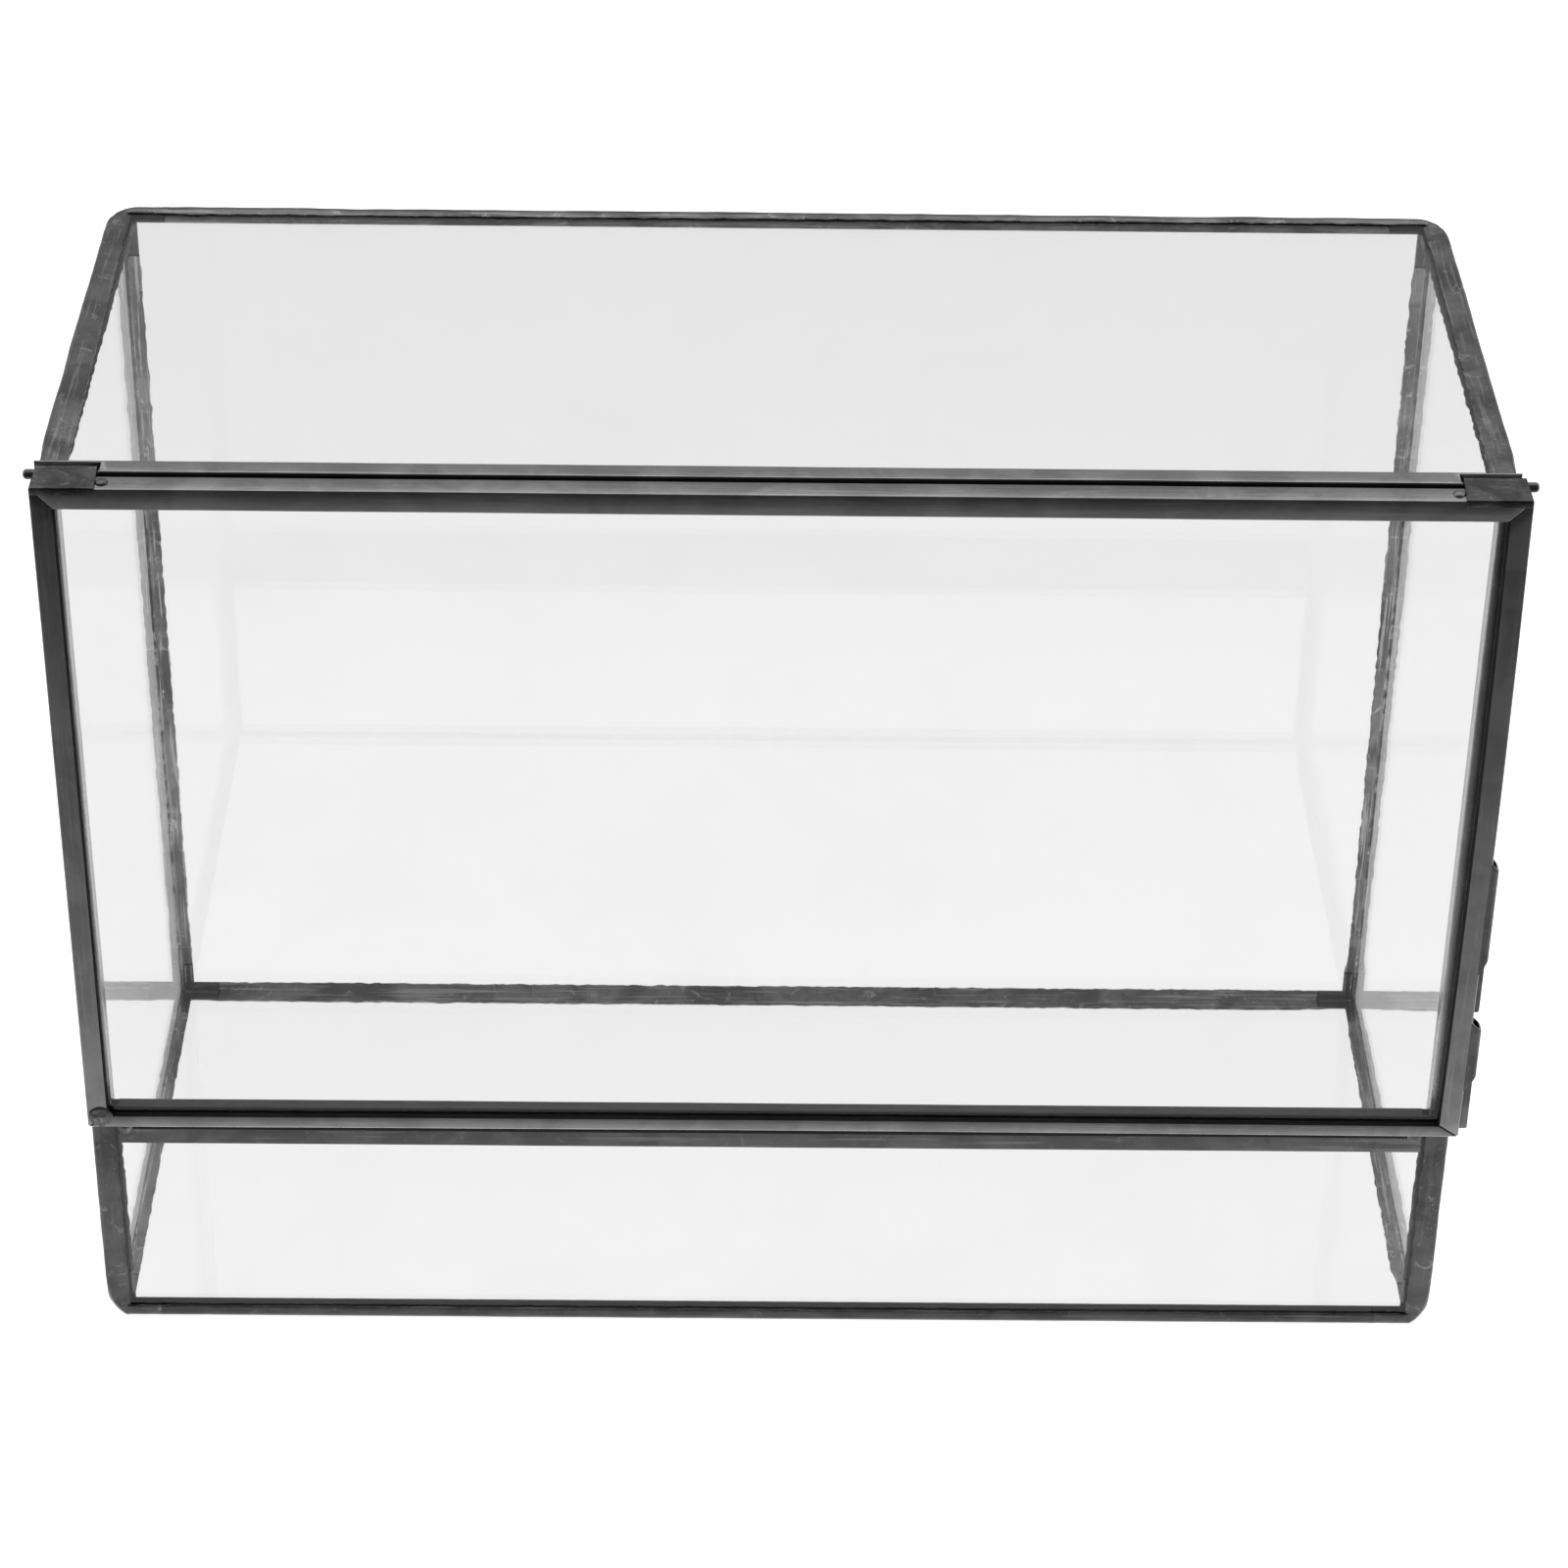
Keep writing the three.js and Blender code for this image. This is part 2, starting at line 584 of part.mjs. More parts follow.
// Folded spring clip: a short open tube of sheet, its rear leaf longer than its front
function clip(name, reach, tip, length, frontLength) {
  const top = tip + length
  const frontEnd = top - frontLength
  const near = doorRight
  const far = doorRight + reach
  const back = doorFront + clipDepth
  const tube = outline([
    [near, doorFront], [far - clipRound, doorFront], [far, doorFront, far, doorFront + clipRound],
    [far, back - clipRound], [far, back, far - clipRound, back], [near, back]
  ])
  const bendInside = clipRound - clipWall
  tube.holes.push(outline([
    [near + clipWall, doorFront + clipWall], [near + clipWall, back - clipWall],
    [far - clipRound, back - clipWall],
    [far - clipWall, back - clipWall, far - clipWall, back - clipWall - bendInside],
    [far - clipWall, doorFront + clipWall + bendInside],
    [far - clipWall, doorFront + clipWall, far - clipRound, doorFront + clipWall]
  ]))
  const silhouette = outline([
    [tip + clipTipRound, near], [tip, near, tip, near + clipTipRound],
    [tip, far - clipTipRound], [tip, far, tip + clipTipRound, far],
    [top - clipTopDrop, far], [top, near]
  ])
  const frontCut = outline([
    [tip - overrun, near - overrun], [frontEnd, near - overrun], [frontEnd, near],
    [frontEnd + clipEndRise, far], [frontEnd + clipEndRise, far + overrun], [tip - overrun, far + overrun]
  ])
  const geometry = subtract(
    intersect(
      pull(tube, 'z', tip - overrun, top + overrun),
      pull(silhouette, 'y', doorFront - overrun, back + overrun)),
    pull(frontCut, 'y', doorFront - overrun, back - clipWall))
  place(doorGroup, name, geometry, metalMaterial(leafColor, 0.4))
}
clip('latch_clip_lower', lowerClipReach, lowerClipTip, lowerClipLength, lowerClipFrontLength)
clip('latch_clip_upper', upperClipReach, upperClipTip, upperClipLength, upperClipFrontLength)

export default group
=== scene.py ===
import math

import bmesh
import bpy
from mathutils import Matrix, Vector, noise
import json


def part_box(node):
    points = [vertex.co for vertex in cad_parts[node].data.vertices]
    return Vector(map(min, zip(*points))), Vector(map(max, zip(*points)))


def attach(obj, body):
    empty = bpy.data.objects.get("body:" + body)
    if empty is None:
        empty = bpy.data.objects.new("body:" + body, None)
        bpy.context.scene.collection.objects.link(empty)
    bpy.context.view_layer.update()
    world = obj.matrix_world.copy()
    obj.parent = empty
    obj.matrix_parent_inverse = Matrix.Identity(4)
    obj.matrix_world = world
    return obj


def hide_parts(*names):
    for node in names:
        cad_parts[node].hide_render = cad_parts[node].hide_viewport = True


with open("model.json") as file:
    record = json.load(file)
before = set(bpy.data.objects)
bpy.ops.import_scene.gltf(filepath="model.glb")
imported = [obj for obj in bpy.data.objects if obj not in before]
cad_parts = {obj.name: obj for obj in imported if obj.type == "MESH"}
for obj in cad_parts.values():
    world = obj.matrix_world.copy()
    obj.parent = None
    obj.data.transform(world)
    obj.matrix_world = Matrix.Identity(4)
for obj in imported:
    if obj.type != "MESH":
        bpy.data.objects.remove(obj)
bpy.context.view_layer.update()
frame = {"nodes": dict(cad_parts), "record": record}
nodes = frame["nodes"]
bodyOf = {node: body for body, names in frame["record"]["behaviour"]["bodies"].items() for node in names}
slotOf = {part["node"]: part["material_slot"] for part in frame["record"]["subparts"]}
scene = bpy.context.scene
scene.view_settings.view_transform = "Standard"
axes = "xyz"
mm = 0.001
touch = 0.01 * mm  # a point this near to a plane lies on it
slack = 0.05 * mm  # less than any step in the solids

# Camera: place in millimetres, angles in degrees, clip in metres
cameraView = {
    "lens": 100, "sensor": 36, "place": (-6.93, -818.05, 640.47),
    "down": 33.111, "turn": 0.605, "roll": 0.801, "clip": (0.01, 20),
}


def addCamera(d):
    down, turn, roll = (math.radians(d[key]) for key in ("down", "turn", "roll"))
    ahead = Vector((math.sin(turn) * math.cos(down), math.cos(turn) * math.cos(down), -math.sin(down)))
    level = Vector((math.cos(turn), -math.sin(turn), 0))
    upward = level.cross(ahead)
    across = level * math.cos(roll) + upward * math.sin(roll)
    tilted = upward * math.cos(roll) - level * math.sin(roll)
    data = bpy.data.cameras.new("camera")
    data.lens = d["lens"]
    data.sensor_width = d["sensor"]
    data.clip_start, data.clip_end = d["clip"]
    obj = bpy.data.objects.new("camera", data)
    scene.collection.objects.link(obj)
    turned = Matrix((across, tilted, -ahead)).transposed().to_4x4()
    obj.matrix_world = Matrix.Translation(Vector(d["place"]) * mm) @ turned
    scene.camera = obj


addCamera(cameraView)
print("camera placed")


# Node helpers
def feed(tree, socket, value):
    if isinstance(value, bpy.types.NodeSocket):
        tree.links.new(value, socket)
    else:
        socket.default_value = value


def add(tree, kind, settings=None, **inputs):
    made = tree.nodes.new("ShaderNode" + kind)
    for key, value in (settings or {}).items():
        setattr(made, key, value)
    for key, value in inputs.items():
        feed(tree, made.inputs[key.replace("_", " ")], value)
    return made


def calc(tree, operation, *values):
    made = add(tree, "Math", {"operation": operation})
    for socket, value in zip(made.inputs, values):
        feed(tree, socket, value)
    return made.outputs[0]


def span(tree, value, low, high, toLow=0.0, toHigh=1.0):
    made = add(tree, "MapRange", {"interpolation_type": "SMOOTHSTEP"}, Value=value,
               From_Min=low, From_Max=high, To_Min=toLow, To_Max=toHigh)
    return made.outputs["Result"]


def grey(value):
    return (value, value, value, 1)


def blend(tree, factor, first, second):
    made = add(tree, "Mix", {"data_type": "RGBA"})
    for socket, value in ((0, factor), (6, first), (7, second)):  # the node's factor and colour sockets
        feed(tree, made.inputs[socket], value)
    return made.outputs[2]


def cloud(tree, coords, scale, detail=4.0, rough=0.55, twist=0.0):
    made = add(tree, "TexNoise", Vector=coords, Scale=scale, Detail=detail, Roughness=rough,
               Distortion=twist)
    return made.outputs["Fac"]


def stretched(tree, coords, along, share):
    scale = [1.0, 1.0, 1.0]
    if along:
        scale[axes.index(along)] = share
    return add(tree, "Mapping", Vector=coords, Scale=scale).outputs["Vector"]


def mixShaders(tree, factor, first, second):
    mixed = add(tree, "MixShader", Fac=factor)
    tree.links.new(first.outputs[0], mixed.inputs[1])
    tree.links.new(second.outputs[0], mixed.inputs[2])
    return mixed


def surface(tree, shader):
    tree.links.new(shader.outputs[0], tree.nodes["Material Output"].inputs["Surface"])


def newMaterial(name):
    made = bpy.data.materials.new(name)
    made.use_nodes = True
    return made


def wear(obj, material):
    obj.data.materials.clear()
    obj.data.materials.append(material)


def specks(tree, coords, look):
    cells = add(tree, "TexVoronoi", Vector=coords, Scale=look["speckScale"]).outputs["Distance"]
    patches = cloud(tree, coords, look["patchScale"], detail=2)
    patches = span(tree, patches, look["patchFrom"], look["patchTo"])
    made = calc(tree, "MULTIPLY", span(tree, cells, look["speckFrom"], look["speckTo"]), patches)
    return calc(tree, "MULTIPLY", made, look["speckAmount"])


# Metal under a black patina. Tones are linear greys and scales are per metre. Low is how many times lighter
# the lowest part is made, a painted reflection of the white floor, and it fades between two heights in
# metres.
patinaBase = {
    "dark": 0.10, "mid": 0.17, "bare": 0.42, "metallic": 0.95, "rough": 0.3, "roughSpread": 0.14,
    "along": None,
    "cloudScale": 70, "cloudFrom": 0.38, "cloudTo": 0.62,
    "streakScale": 1400, "streakShare": 0.03, "streakFrom": 0.54, "streakTo": 0.64, "streakAmount": 0.35,
    "scuffScale": 240, "scuffFrom": 0.58, "scuffTo": 0.68, "scuffAmount": 0.35, "scuffRough": -0.1,
    "speckScale": 1100, "speckFrom": 0.16, "speckTo": 0.05, "speckTone": 0.75, "speckAmount": 0.7,
    "patchScale": 120, "patchFrom": 0.55, "patchTo": 0.7,
    "bump": 0.3, "bumpDepth": 0.0003, "bumpScale": 900, "lumpScale": 260, "lumpAmount": 1.5,
    "low": 1.0, "floorReflectionFrom": 0.0006, "floorReflectionTo": 0.0018,
}


def patina(name, **changes):
    look = {**patinaBase, **changes}
    made = newMaterial(name)
    tree = made.node_tree
    shader = tree.nodes["Principled BSDF"]
    coords = add(tree, "TexCoord").outputs["Object"]
    clouds = cloud(tree, coords, look["cloudScale"], detail=6, rough=0.6, twist=0.6)
    cloudy = span(tree, clouds, look["cloudFrom"], look["cloudTo"])
    tone = blend(tree, cloudy, grey(look["dark"]), grey(look["mid"]))

    lengthwise = stretched(tree, coords, look["along"], look["streakShare"])
    streaks = cloud(tree, lengthwise, look["streakScale"], detail=3, rough=0.6)
    streaks = span(tree, streaks, look["streakFrom"], look["streakTo"])
    tone = blend(tree, calc(tree, "MULTIPLY", streaks, look["streakAmount"]), tone, grey(look["bare"]))

    scuffs = cloud(tree, coords, look["scuffScale"], detail=8, rough=0.62, twist=1.2)
    scuffs = span(tree, scuffs, look["scuffFrom"], look["scuffTo"])
    scuffs = calc(tree, "MULTIPLY", scuffs, look["scuffAmount"])
    tone = blend(tree, scuffs, tone, grey(look["bare"]))
    tone = blend(tree, specks(tree, coords, look), tone, grey(look["speckTone"]))
    # Painted reflection of the white floor: the lowest part is made lighter
    if look["low"] > 1:
        height = add(tree, "SeparateXYZ", Vector=coords).outputs["Z"]
        paintedFloorReflection = span(tree, height, look["floorReflectionFrom"], look["floorReflectionTo"], look["low"], 1.0)
        tone = add(tree, "VectorMath", {"operation": "SCALE"}, Vector=tone, Scale=paintedFloorReflection).outputs["Vector"]
    tree.links.new(tone, shader.inputs["Base Color"])

    rough = calc(tree, "MULTIPLY_ADD", clouds, look["roughSpread"], look["rough"] - look["roughSpread"] / 2)
    rough = calc(tree, "MULTIPLY_ADD", scuffs, look["scuffRough"], rough)
    tree.links.new(rough, shader.inputs["Roughness"])
    shader.inputs["Metallic"].default_value = look["metallic"]

    fine = cloud(tree, lengthwise, look["bumpScale"], detail=4, rough=0.6)
    lumps = cloud(tree, coords, look["lumpScale"], detail=4)
    height = calc(tree, "MULTIPLY_ADD", lumps, look["lumpAmount"], fine)
    bump = add(tree, "Bump", Strength=look["bump"], Distance=look["bumpDepth"], Height=height)
    tree.links.new(bump.outputs["Normal"], shader.inputs["Normal"])
    return made


def alongPatina(name, ways, **changes):
    return {along: patina(name + "_" + along, along=along, **changes) for along in ways}


beadLook = alongPatina("bead", "xyz", dark=0.11, mid=0.19, bare=0.6, streakAmount=0.25)
stripLook = alongPatina("strip", "xyz", dark=0.16, mid=0.36, bare=0.85, streakAmount=0.6, scuffAmount=0.5,
                        rough=0.36)
cameLook = alongPatina("came", "xz", dark=0.32, mid=0.42, bare=0.6, streakAmount=0.3, scuffAmount=0.12,
                       speckAmount=0.4, rough=0.26, bump=0.08)
railLook = alongPatina("rail", "xz", dark=0.27, mid=0.35, bare=0.5, streakAmount=0.25, scuffAmount=0.1,
                       speckAmount=0.4, rough=0.24, bump=0.08)
# The front bead and the front corners get the painted reflection of the floor on their lowest part (low)
frontBeadLook = patina("front_bead", along="x", dark=0.06, mid=0.09, bare=0.3, streakAmount=0.2,
                       scuffAmount=0.12, speckAmount=0.4, low=3.2, bump=0.15)
frontCornerLook = patina("front_corner", dark=0.075, mid=0.13, bare=0.5, streakAmount=0, scuffAmount=0.3,
                         low=2.2)
cornerLook = patina("corner_solder", dark=0.11, mid=0.19, bare=0.6, streakAmount=0)
postLook = patina("post_solder", along="z", dark=0.075, mid=0.13, bare=0.5, streakAmount=0.05,
                  speckAmount=0.9)
sillLook = patina("sill_came", along="x", dark=0.085, mid=0.12, bare=0.35, streakAmount=0.25,
                  scuffAmount=0.15, speckAmount=0.5, rough=0.27, bump=0.12)
# Near black: painted shade for the insides of channels, the gaps behind the rails and a line on the sill
paintedShadeLook = patina("painted_shade", dark=0.006, mid=0.012, bare=0.03, metallic=0.3, streakAmount=0,
                     scuffAmount=0, speckAmount=0, rough=0.6)
# Dark: painted shade for the inner strips of the front and top seams and for parts behind the door's pane
shadedInnerLook = patina("painted_inner_shade", dark=0.05, mid=0.07, bare=0.12, metallic=0.4, streakAmount=0,
                   scuffAmount=0.1, speckAmount=0.1, rough=0.5)
# Light: painted highlight on the top rail's back top edge and the bottom rail's lower front edge
edgeHighlightLook = patina("painted_edge_highlight", along="x", dark=0.5, mid=0.7, bare=0.9, streakAmount=0.3, rough=0.25)
leafLook = patina("leaf_sheet", dark=0.06, mid=0.12, bare=0.4, streakAmount=0, cloudScale=160,
                  scuffScale=420, scuffAmount=0.35, rough=0.32, bump=0.5)
clipLook = patina("clip_sheet", along="z", dark=0.13, mid=0.22, streakAmount=0.1, rough=0.36, bump=0.15)
dropLook = patina("drop_solder", dark=0.12, mid=0.2, streakAmount=0, scuffScale=420, scuffAmount=0.5,
                  rough=0.32)
rodLook = patina("rod_wire", along="x", dark=0.08, mid=0.14, streakAmount=0.2, rough=0.3)
print("patina done")

# Clear glass with faint smears and specks of dust. Shade is what a pane leaves of the light for its shadow.
glassLook = {
    "clean": 1.0, "smeared": 0.985, "smearScale": 18, "smearFrom": 0.45, "smearTo": 0.75, "ior": 1.5,
    "speckScale": 420, "speckFrom": 0.09, "speckTo": 0.03, "speckTone": 0.25, "speckAmount": 0.5,
    "patchScale": 35, "patchFrom": 0.62, "patchTo": 0.72, "shade": 0.9,
}


def glass(name, look):
    made = newMaterial(name)
    tree = made.node_tree
    shader = tree.nodes["Principled BSDF"]
    coords = add(tree, "TexCoord").outputs["Object"]
    smears = cloud(tree, coords, look["smearScale"], detail=5, rough=0.6, twist=1.5)
    smears = span(tree, smears, look["smearFrom"], look["smearTo"])
    tone = blend(tree, smears, grey(look["clean"]), grey(look["smeared"]))
    tone = blend(tree, specks(tree, coords, look), tone, grey(look["speckTone"]))
    tree.links.new(tone, shader.inputs["Base Color"])
    shader.inputs["Transmission Weight"].default_value = 1
    shader.inputs["Roughness"].default_value = 0
    shader.inputs["IOR"].default_value = look["ior"]
    clear = add(tree, "BsdfTransparent", Color=grey(look["shade"]))
    path = add(tree, "LightPath")
    surface(tree, mixShaders(tree, path.outputs["Is Shadow Ray"], shader, clear))
    return made


for name, slot in slotOf.items():
    if slot == "glass":
        wear(nodes[name], glass(name, glassLook))
print("glass done")

# Mesh helpers: distances in millimetres, angles in degrees
meshCare = {"mergeWithin": 0.002, "flatWithin": 0.5, "sharpFrom": 50, "segments": 2}
seedSpread = (1, 1.7, 2.3)


def mergedCopy(name):
    bm = bmesh.new()
    bm.from_mesh(nodes[name].data)
    flat = math.radians(meshCare["flatWithin"])
    bmesh.ops.remove_doubles(bm, verts=bm.verts, dist=meshCare["mergeWithin"] * mm)
    bmesh.ops.dissolve_limit(bm, angle_limit=flat, verts=bm.verts, edges=bm.edges)
    return bm


def roundEdges(bm, edges, width, segments):
    bmesh.ops.bevel(bm, geom=edges, offset=width * mm, offset_type="OFFSET", segments=segments, profile=0.5,
                    affect="EDGES", clamp_overlap=True, material=-1)


def softenEdges(bm, width):
    sharpFrom = math.radians(meshCare["sharpFrom"])
    sharp = [e for e in bm.edges if len(e.link_faces) == 2 and e.calc_face_angle(0) > sharpFrom]
    roundEdges(bm, sharp, width, meshCare["segments"])


def extent(bm, i):
    return min(v.co[i] for v in bm.verts), max(v.co[i] for v in bm.verts)


def cut(bm, place, normal):
    geom = bm.verts[:] + bm.edges[:] + bm.faces[:]
    bmesh.ops.bisect_plane(bm, geom=geom, plane_co=place, plane_no=normal, dist=touch)


def slices(bm, axis, step):
    i = axes.index(axis)
    low, high = extent(bm, i)
    count = max(1, round((high - low) / (step * mm)))
    normal = Vector([float(k == i) for k in range(3)])
    for n in range(1, count):
        cut(bm, normal * (low + (high - low) * n / count), normal)


def finish(name, bm, replaced, materials, smooth):
    mesh = bpy.data.meshes.new(name)
    bm.to_mesh(mesh)
    bm.free()
    obj = bpy.data.objects.new(name, mesh)
    scene.collection.objects.link(obj)
    for polygon in mesh.polygons:
        polygon.use_smooth = True
    mesh.set_sharp_from_angle(angle=math.radians(smooth))
    for material in materials:
        mesh.materials.append(material)
    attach(obj, bodyOf[replaced])
    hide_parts(replaced)


def seedOf(name):
    return sum(map(ord, name)) % 97


def wobble(point, size, seed):
    return noise.noise(point / (size * mm) + Vector([share * seed for share in seedSpread]))


def ease(value, width):
    t = min(max(value / width, 0), 1)
    return t * t * (3 - 2 * t)


# Case of glass: the outer faces of the panes
lowPanes = ("glass_left", "glass_front_lower", "glass_bottom")
highPanes = ("glass_right", "glass_back", "glass_top")
caseLow = Vector([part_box(pane)[0][k] for k, pane in enumerate(lowPanes)])
caseHigh = Vector([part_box(pane)[1][k] for k, pane in enumerate(highPanes)])
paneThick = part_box("glass_back")[1][1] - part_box("glass_back")[0][1]
standOff = 0.03 * mm


def caseDepth(point, inward, k):
    outer = caseLow if inward[k] > 0 else caseHigh
    return (point[k] - outer[k]) * inward[k]


def offGlass(depth):
    # A face that touches a pane stands off it by a hair, so that the pane shows it cleanly
    if abs(depth) < touch:
        return -standOff
    return standOff if abs(depth - paneThick) < touch else 0


# Seams in millimetres. Inward is the way into the case. Bead and strip say how much wider than the solid
# the outer bead and the inner strip are made along one axis, at the low and at the high end. A seam with
# openLow or plainTop meets no solder lump at that end, and taper draws in its low end. The second look
# starts past the pane, on the one side that behind names or on both.
seams = {
    "seam_back_top": {"axis": "x", "inward": (0, -1, -1), "bead": {"y": (0.3, -0.3)},
                      "behind": "z", "ragged": {"strip": 0.06}},
    "seam_back_bottom": {"axis": "x", "inward": (0, -1, 1), "strip": {"y": (0.1, 0.9)}},
    "seam_bottom_front": {"axis": "x", "inward": (0, 1, 1), "looks": (frontBeadLook, shadedInnerLook),
                          "behind": "y", "ragged": {"bead": 0.12, "strip": 0.04}},
    "seam_top_left": {"axis": "y", "inward": (1, 0, -1), "looks": (beadLook["y"], shadedInnerLook),
                      "openLow": True, "bead": {"x": (1.2, -0.1)}, "taper": 0.7},
    "seam_top_right": {"axis": "y", "inward": (-1, 0, -1), "looks": (beadLook["y"], shadedInnerLook),
                       "openLow": True, "bead": {"x": (0.7, -0.3)}, "taper": 0.7},
    "seam_bottom_left": {"axis": "y", "inward": (1, 0, 1)},
    "seam_bottom_right": {"axis": "y", "inward": (-1, 0, 1), "strip": {"x": (0.9, 0.2)}},
    "seam_back_left": {"axis": "z", "inward": (1, -1, 0), "strip": {"x": (-0.1, 0.2)}},
    "seam_back_right": {"axis": "z", "inward": (-1, -1, 0), "strip": {"x": (-0.7, 0.3)}},
    "seam_front_left": {"axis": "z", "inward": (1, 1, 0), "looks": (postLook, shadedInnerLook),
                        "plainTop": True},
    "seam_front_right": {"axis": "z", "inward": (-1, 1, 0), "looks": (postLook, shadedInnerLook),
                         "plainTop": True},
}

# TipShare is where on a bead the widening starts, and crown the height over which its waves grow. LineApart
# and axisApart keep the ragged lines of one seam from being alike.
seamShape = {
    "step": 1.1, "fade": 5, "tipShare": 0.55, "stripInset": 0.4, "taperOver": 14, "tuck": 0.5, "lap": 0.03,
    "swell": 0.16, "swellSize": 16, "ripple": 0.06, "rippleSize": 4, "rippleSeed": 5, "crown": 0.5,
    "ragged": 0.32, "raggedSize": 2.2, "fineShare": 0.6, "fineSize": {"bead": 1.3, "strip": 1.2},
    "lineApart": {"bead": 0, "strip": 30}, "axisApart": 40, "smooth": 50,
}


def edgeShift(part, d, shape, k, along, share, seed):
    # How far an edge of the bead or the strip moves: its extra width and a ragged line
    atLow, atHigh = d.get(part, {}).get(axes[k], (0, 0))
    wide = (atLow + (atHigh - atLow) * share) * mm
    spot = Vector((along, k * shape["axisApart"] * mm, shape["lineApart"][part] * mm))
    line = wobble(spot, shape["raggedSize"], seed)
    line += shape["fineShare"] * wobble(spot, shape["fineSize"][part], seed)
    return wide + d.get("ragged", {}).get(part, shape["ragged"]) * mm * line


def shapeSeam(bm, name, d, shape):
    i = axes.index(d["axis"])
    cross = [k for k in range(3) if k != i]
    inward = d["inward"]
    low, high = extent(bm, i)
    seed = seedOf(name)
    stripFrom = paneThick + shape["stripInset"] * mm
    stripTo, beadTo = {}, {}
    for k, other in (cross, cross[::-1]):
        outside = [v for v in bm.verts if caseDepth(v.co, inward, other) < -slack]
        beadTo[k] = max(caseDepth(v.co, inward, k) for v in outside)
        stripTo[k] = max(caseDepth(v.co, inward, k) for v in bm.verts)
    for v in bm.verts:
        along = v.co[i]
        share = (along - low) / (high - low)
        fade = ease(high - along, shape["fade"] * mm)
        if not d.get("openLow"):
            fade *= ease(along - low, shape["fade"] * mm)
        depth = {k: caseDepth(v.co, inward, k) for k in cross}
        shift = {k: 0.0 for k in cross}
        for k, other in (cross, cross[::-1]):
            beadFrom = beadTo[k] * shape["tipShare"]
            if depth[other] < slack and depth[k] > beadFrom:
                weight = min((depth[k] - beadFrom) / (beadTo[k] - beadFrom), 1)
                shift[k] += weight * fade * edgeShift("bead", d, shape, k, along, share, seed)
            if paneThick - slack < depth[other] < stripFrom < depth[k]:
                weight = (depth[k] - stripFrom) / (stripTo[k] - stripFrom)
                shift[k] += weight * fade * edgeShift("strip", d, shape, k, along, share, seed)
            if depth[k] < -slack:
                swell = shape["swell"] * wobble(v.co, shape["swellSize"], seed)
                swell += shape["ripple"] * wobble(v.co, shape["rippleSize"], seed + shape["rippleSeed"])
                shift[k] -= fade * swell * mm * min(-depth[k] / (shape["crown"] * mm), 1)
                if "taper" in d and axes[k] == "x":
                    shift[k] += d["taper"] * mm * (1 - ease(along - low, shape["taperOver"] * mm))
        # An end that meets a lump laps a little over it, so that no line shows there
        atLow = along < low + touch and not d.get("openLow")
        atHigh = along > high - touch and not d.get("plainTop")
        if atLow or atHigh:
            v.co[i] += (1 if atHigh else -1) * shape["tuck"] * mm
            for k in cross:
                if depth[k] < -slack:
                    shift[k] -= shape["lap"] * mm
        for k in cross:
            v.co[k] += (shift[k] + offGlass(depth[k])) * inward[k]


def isStrip(face, d):
    middle = face.calc_center_median()
    sides = d.get("behind", axes.replace(d["axis"], ""))
    return all(caseDepth(middle, d["inward"], axes.index(side)) > paneThick - slack for side in sides)


for name, d in seams.items():
    bm = mergedCopy(name)
    slices(bm, d["axis"], seamShape["step"])
    for face in bm.faces:
        face.material_index = int(isStrip(face, d))
    shapeSeam(bm, name, d, seamShape)
    looks = d.get("looks", (beadLook[d["axis"]], stripLook[d["axis"]]))
    finish(name + "_solder", bm, name, looks, seamShape["smooth"])
print("seams done")

# Solder lumps in the corners of the case, with the way into the case
corners = {
    "corner_bottom_front_left": (1, 1, 1),
    "corner_bottom_front_right": (-1, 1, 1),
    "corner_bottom_back_left": (1, -1, 1),
    "corner_bottom_back_right": (-1, -1, 1),
    "corner_top_back_left": (1, -1, -1),
    "corner_top_back_right": (-1, -1, -1),
}
cornerShape = {"step": 0.8, "smoothing": 8, "swell": 0.12, "swellSize": 5, "fade": 4, "smooth": 60}


def shapeCorner(bm, name, inward, shape):
    ends = [max(caseDepth(v.co, inward, k) for v in bm.verts) for k in range(3)]
    fades = {}
    for v in bm.verts:
        depth = [caseDepth(v.co, inward, k) for k in range(3)]
        atEnd = any(depth[k] > ends[k] - slack for k in range(3))
        if min(depth) < -touch and not atEnd:
            fades[v] = min(ease(ends[k] - depth[k], shape["fade"] * mm) for k in range(3))
    outer = list(fades)
    start = {v: v.co.copy() for v in outer}
    for n in range(shape["smoothing"]):
        bmesh.ops.smooth_vert(bm, verts=outer, factor=0.5, use_axis_x=True, use_axis_y=True, use_axis_z=True)
    for v in outer:
        v.co = start[v].lerp(v.co, fades[v])
    bm.normal_update()
    seed = seedOf(name)
    for v in outer:
        v.co += v.normal * fades[v] * shape["swell"] * mm * wobble(v.co, shape["swellSize"], seed)
    for v in bm.verts:
        for k in range(3):
            v.co[k] += offGlass(caseDepth(v.co, inward, k)) * inward[k]


for name, inward in corners.items():
    bm = mergedCopy(name)
    for axis in axes:
        slices(bm, axis, cornerShape["step"])
    shapeCorner(bm, name, inward, cornerShape)
    look = frontCornerLook if "front" in name else cornerLook
    finish(name + "_solder", bm, name, (look,), cornerShape["smooth"])
print("corners done")
